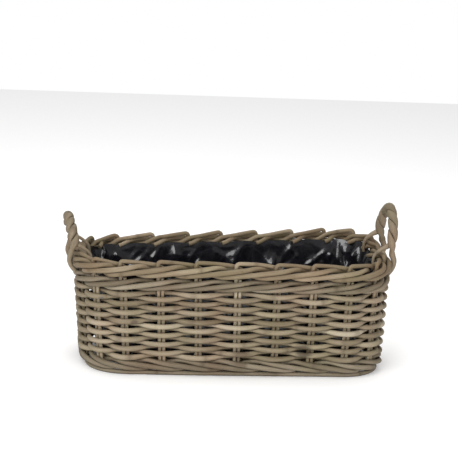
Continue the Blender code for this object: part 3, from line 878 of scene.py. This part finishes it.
def floor_crumple(x, y):
    """How high the loose film on the floor stands in shallow facets."""
    rng = np.random.default_rng(12)
    height = np.zeros(len(x))
    for _ in range(5):
        angle = rng.uniform(0, math.pi)
        phase = (x * math.cos(angle) + y * math.sin(angle)) / rng.uniform(0.05, 0.11) + rng.uniform(0, 1)
        height += np.abs((phase % 1) - 0.5) * rng.uniform(0.0012, 0.0028)
    return height


def film_out(heights):
    """How far off the stake line the flat film lies at these heights: just clear of the weavers, then of the band."""
    s = sizes()
    flat = -(s.weaver_bow + s.weaver_radius * 1.2 + FILM_GAP)
    return np.interp(heights, (TOP_WALE[0], FILM_TUCKED_Z), (flat, FILM_TOP_OUT))


def past_stake(u):
    """How far past a pair's left rod u is, as a share of the way to the next pair."""
    return (u + PAIR_HALF / BACK_STAKE_SPACING) % 1


def film_wall(u, heights, out):
    """Rings of the film: upright off the weave, its edge higher between the border's cut tips, most so at the ends."""
    rise = np.interp(past_stake(u), FILM_EDGE_STAKES, FILM_EDGE_RISE)
    reach = np.abs(wall(u, 0, LINER_TOP)[:, 0])
    rise = rise * np.interp(reach, (HALF_LENGTH - 0.03, HALF_LENGTH - 0.006), (1, FILM_END_RISE))
    climb = np.clip((heights - FILM_TUCKED_Z) / (LINER_TOP - FILM_TUCKED_Z), 0, 1)
    return [wall(u, out[i], heights[i] + rise * climb[i]) for i in range(len(heights))]


def tub_faces(levels, around):
    """Quads round a tub of rings, and a ladder of quads from side to side across its last ring."""
    faces = []
    for i in range(levels - 1):
        for k in range(around):
            a = i * around + k
            b = i * around + (k + 1) % around
            faces.append((a, a + around, b + around, b))
    last = (levels - 1) * around
    middle = around * 7 // 8
    for j in range(around // 2):
        corners = (middle + j, middle - j, middle - j - 1, middle + j + 1)
        faces.append(tuple(dict.fromkeys(last + corner % around for corner in corners)))
    return faces


def make_liner():
    """The film pushed down into the basket: a grid tub whose fullness is gathered into folds against the wall."""
    around, levels = FILM_GRID
    u = np.linspace(0, STAKE_COUNT, around, endpoint=False)
    heights = np.linspace(LINER_TOP, LINER_BOTTOM, levels)
    share = (LINER_TOP - heights) / (LINER_TOP - LINER_BOTTOM)
    rows = film_wall(u, heights, film_out(heights)[:, None] - film_folds(u, share))
    inner = rows[-1]
    smooth = film_wall(u, heights[-1:], film_out(heights[-1:])[:, None])[0]
    shift = np.array([FOOT_SHIFT, 0, 0])
    for part, creased in FILM_FLOOR_RINGS:
        ring = (smooth + (inner - smooth) * creased - shift) * np.array([part, part, 1]) + shift
        ring[:, 2] = LINER_BOTTOM + FILM_GAP + floor_crumple(ring[:, 0], ring[:, 1])
        rows.append(ring)
    obj = mesh_object("liner_film", np.vstack(rows), tub_faces(len(rows), around))
    obj.data.materials.append(film())
    settle_film(obj, around)
    bpy.ops.object.select_all(action="DESELECT")
    obj.select_set(True)
    bpy.context.view_layer.objects.active = obj
    bpy.ops.object.modifier_add(type="SUBSURF")
    bpy.ops.object.modifier_apply(modifier=obj.modifiers[0].name)
    bpy.ops.object.shade_smooth_by_angle(angle=math.radians(FILM_SMOOTH_ANGLE))
    keep(obj, "liner")


def mesh_object(name, points, faces):
    """A new object from points and faces."""
    mesh = bpy.data.meshes.new(name)
    mesh.from_pydata(points.tolist(), [], faces)
    obj = bpy.data.objects.new(name, mesh)
    bpy.context.scene.collection.objects.link(obj)
    return obj


def film_form():
    """A plain tub in place of the weave, facing inwards, which keeps the film inside while it settles."""
    u = np.linspace(0, STAKE_COUNT, 240, endpoint=False)
    heights = np.linspace(LINER_TOP + 0.004, LINER_BOTTOM - 0.0004, 12)
    rings = [wall(u, out + FORM_GAP, z) for out, z in zip(film_out(heights), heights)]
    form = mesh_object("film_form", np.vstack(rings), tub_faces(len(rings), len(u)))
    form.data.flip_normals()
    form.modifiers.new("Collision", "COLLISION")
    form.collision.thickness_outer = 0.0004
    form.collision.cloth_friction = 12
    return form


def settle_film(obj, around):
    """Lets the film, held at its edge, sag and settle with its folds against the wall and the floor."""
    form = film_form()
    group = obj.vertex_groups.new(name="edge")
    group.add(list(range(2 * around)), 1.0, "REPLACE")
    cloth = obj.modifiers.new("Cloth", "CLOTH")
    for key, value in FILM_CLOTH.items():
        setattr(cloth.settings, key, value)
    for key, value in FILM_TOUCH.items():
        setattr(cloth.collision_settings, key, value)
    cloth.point_cache.frame_start = 1
    cloth.point_cache.frame_end = SETTLE_FRAMES
    scene = bpy.context.scene
    for frame_number in range(1, SETTLE_FRAMES + 1):
        scene.frame_set(frame_number)
    settled = bpy.data.meshes.new_from_object(obj.evaluated_get(bpy.context.evaluated_depsgraph_get()))
    obj.modifiers.clear()
    obj.vertex_groups.clear()
    obj.data = settled
    scene.frame_set(1)
    bpy.data.objects.remove(form, do_unlink=True)


# Stage


def make_stage():
    """A pale floor, three softboxes, soft light all round and the camera."""
    scene = bpy.context.scene
    bpy.ops.object.select_all(action="DESELECT")
    bpy.ops.mesh.primitive_plane_add(size=6, location=(0, 0, -0.0002))
    floor = bpy.context.object
    floor.name = "floor"
    floor.data.materials.append(floor_paper())
    scene.world = studio_world()
    for name, place, size, power in SOFTBOXES:
        bpy.ops.object.light_add(type="AREA", location=place)
        lamp = bpy.context.object
        lamp.name = name
        lamp.data.size = size
        lamp.data.energy = power
        lamp.visible_glossy = name != "front softbox"
        aim = (LAMP_TARGET - Vector(place)).to_track_quat("-Z", "Y")
        lamp.matrix_world = Matrix.Translation(place) @ aim.to_matrix().to_4x4()
    make_camera()
    scene.view_settings.view_transform = "Standard"


def studio_world():
    """White to the camera, softer on the object, and softer still in its reflections."""
    world = bpy.data.worlds.new("studio")
    world.use_nodes = True
    tree = world.node_tree
    tree.nodes.clear()
    path = add_node(tree, "LightPath").outputs
    seen = maths(tree, "MAXIMUM", {0: path["Is Camera Ray"], 1: path["Is Transmission Ray"]})
    level = remap(tree, path["Is Glossy Ray"], (0, 1), (0.62, 0.3))
    soft = add_node(tree, "Background", links={"Strength": level}, values={"Color": (1, 1, 1, 1)})
    white = add_node(tree, "Background", values={"Color": (1, 1, 1, 1), "Strength": 1.0})
    both = add_node(tree, "MixShader", links={0: seen, 1: soft.outputs[0], 2: white.outputs[0]})
    add_node(tree, "OutputWorld", links={"Surface": both.outputs[0]})
    return world


def floor_paper():
    """Matt paper sweep: pale and even, brought up to white for the camera where nothing shades it."""
    material = bpy.data.materials.new("Matt paper, pale")
    material.use_nodes = True
    tree = material.node_tree
    tree.nodes.clear()
    path = add_node(tree, "LightPath").outputs
    diffuse = add_node(tree, "BsdfDiffuse", values={"Color": (0.92, 0.92, 0.92, 1)}).outputs[0]
    where = add_node(tree, "TexCoord").outputs["Object"]
    # The added white fades out under the basket, so that its shadow stays.
    place = {"Location": (-0.03, 0, 0), "Scale": (3.3, 7.4, 1)}
    under = add_node(tree, "Mapping", links={"Vector": where}, values=place).outputs[0]
    shade = add_node(tree, "TexGradient", {"gradient_type": "SPHERICAL"}, {"Vector": under}).outputs["Fac"]
    level = remap(tree, shade, (0, 0.25), (0.18, 0))
    glow = add_node(tree, "Emission", links={"Strength": level}, values={"Color": (1, 1, 1, 1)}).outputs[0]
    lit = add_node(tree, "AddShader", links={0: diffuse, 1: glow}).outputs[0]
    both = add_node(tree, "MixShader", links={0: path["Is Camera Ray"], 1: diffuse, 2: lit}).outputs[0]
    add_node(tree, "OutputMaterial", links={"Surface": both})
    return material


def make_camera():
    """The photograph's viewpoint."""
    yaw, pitch, roll = (math.radians(angle) for angle in CAMERA_TURN)
    ahead = Vector((math.sin(yaw) * math.cos(pitch), math.cos(yaw) * math.cos(pitch), -math.sin(pitch)))
    right = Vector((math.cos(yaw), -math.sin(yaw), 0))
    up = right.cross(ahead)
    turned_right = math.cos(roll) * right + math.sin(roll) * up
    turned_up = -math.sin(roll) * right + math.cos(roll) * up
    bpy.ops.object.camera_add()
    camera = bpy.context.object
    camera.name = "photo camera"
    turn = Matrix((turned_right, turned_up, -ahead)).transposed().to_4x4()
    camera.matrix_world = Matrix.Translation(CAMERA_PLACE) @ turn
    camera.data.sensor_width = SENSOR_MM
    camera.data.sensor_fit = "HORIZONTAL"
    camera.data.lens = CAMERA_FOCAL_PIXELS / PHOTO_PIXELS * SENSOR_MM
    camera.data.clip_start = 0.1
    camera.data.clip_end = 20
    bpy.context.scene.camera = camera


# Operators and panel


class BASKET_OT_stakes(bpy.types.Operator):
    """Add the stake pairs with the border rods that they turn into"""

    bl_idname = "basket.stakes"
    bl_label = "Add stakes and border"

    def execute(self, context):
        for index in range(STAKE_COUNT):
            make_stake(index)
        return {"FINISHED"}


class BASKET_OT_weavers(bpy.types.Operator):
    """Add the rows of the wall's weave"""

    bl_idname = "basket.weavers"
    bl_label = "Add weavers"

    def execute(self, context):
        for row in range(ROW_COUNT):
            make_weaver(row)
        return {"FINISHED"}


class BASKET_OT_wales(bpy.types.Operator):
    """Add the three-rod bands under the border and at the foot, and the foot hoop"""

    bl_idname = "basket.wales"
    bl_label = "Add wales and foot hoop"

    def execute(self, context):
        for strand in range(3):
            make_wale(f"foot_wale_{strand + 1}", strand, *FOOT_WALE, False, 14)
            make_wale(f"top_wale_{strand + 1}", strand, *TOP_WALE, True, 17)
        make_foot_hoop()
        return {"FINISHED"}


class BASKET_OT_handles(bpy.types.Operator):
    """Add the two twisted ear handles"""

    bl_idname = "basket.handles"
    bl_label = "Add handles"

    def execute(self, context):
        make_handle("left", -1, (sizes().left_height, LEFT_HANDLE_LEAN, LEFT_HANDLE_SKEW))
        make_handle("right", 1, (sizes().right_height, RIGHT_HANDLE_LEAN, RIGHT_HANDLE_SKEW))
        return {"FINISHED"}


class BASKET_OT_base(bpy.types.Operator):
    """Add the woven floor"""

    bl_idname = "basket.base"
    bl_label = "Add base"

    def execute(self, context):
        make_base()
        return {"FINISHED"}


class BASKET_OT_liner(bpy.types.Operator):
    """Add the creased film liner"""

    bl_idname = "basket.liner"
    bl_label = "Add liner"

    def execute(self, context):
        make_liner()
        return {"FINISHED"}


class BASKET_OT_stage(bpy.types.Operator):
    """Add the floor, the studio light and the camera"""

    bl_idname = "basket.stage"
    bl_label = "Add stage"

    def execute(self, context):
        make_stage()
        return {"FINISHED"}


OPERATORS = (
    BASKET_OT_stakes,
    BASKET_OT_weavers,
    BASKET_OT_wales,
    BASKET_OT_handles,
    BASKET_OT_base,
    BASKET_OT_liner,
    BASKET_OT_stage,
)


class BASKET_PT_panel(bpy.types.Panel):
    """Sizes, colours and the steps that build the basket"""

    bl_label = "Basket plant pot cover"
    bl_idname = "BASKET_PT_panel"
    bl_space_type = "VIEW_3D"
    bl_region_type = "UI"
    bl_category = "Basket"

    def draw(self, context):
        for name in BasketSizes.__annotations__:
            self.layout.prop(context.scene.basket_sizes, name)
        for operator in OPERATORS:
            self.layout.operator(operator.bl_idname)


CLASSES = (BasketSizes, *OPERATORS, BASKET_PT_panel)


def register():
    for cls in CLASSES:
        bpy.utils.register_class(cls)
    bpy.types.Scene.basket_sizes = bpy.props.PointerProperty(type=BasketSizes)


def unregister():
    del bpy.types.Scene.basket_sizes
    for cls in reversed(CLASSES):
        bpy.utils.unregister_class(cls)


def main():
    register()
    bpy.ops.basket.stakes()
    bpy.ops.basket.weavers()
    bpy.ops.basket.wales()
    bpy.ops.basket.handles()
    bpy.ops.basket.base()
    bpy.ops.basket.liner()
    bpy.ops.basket.stage()


if __name__ == "__main__":
    main()
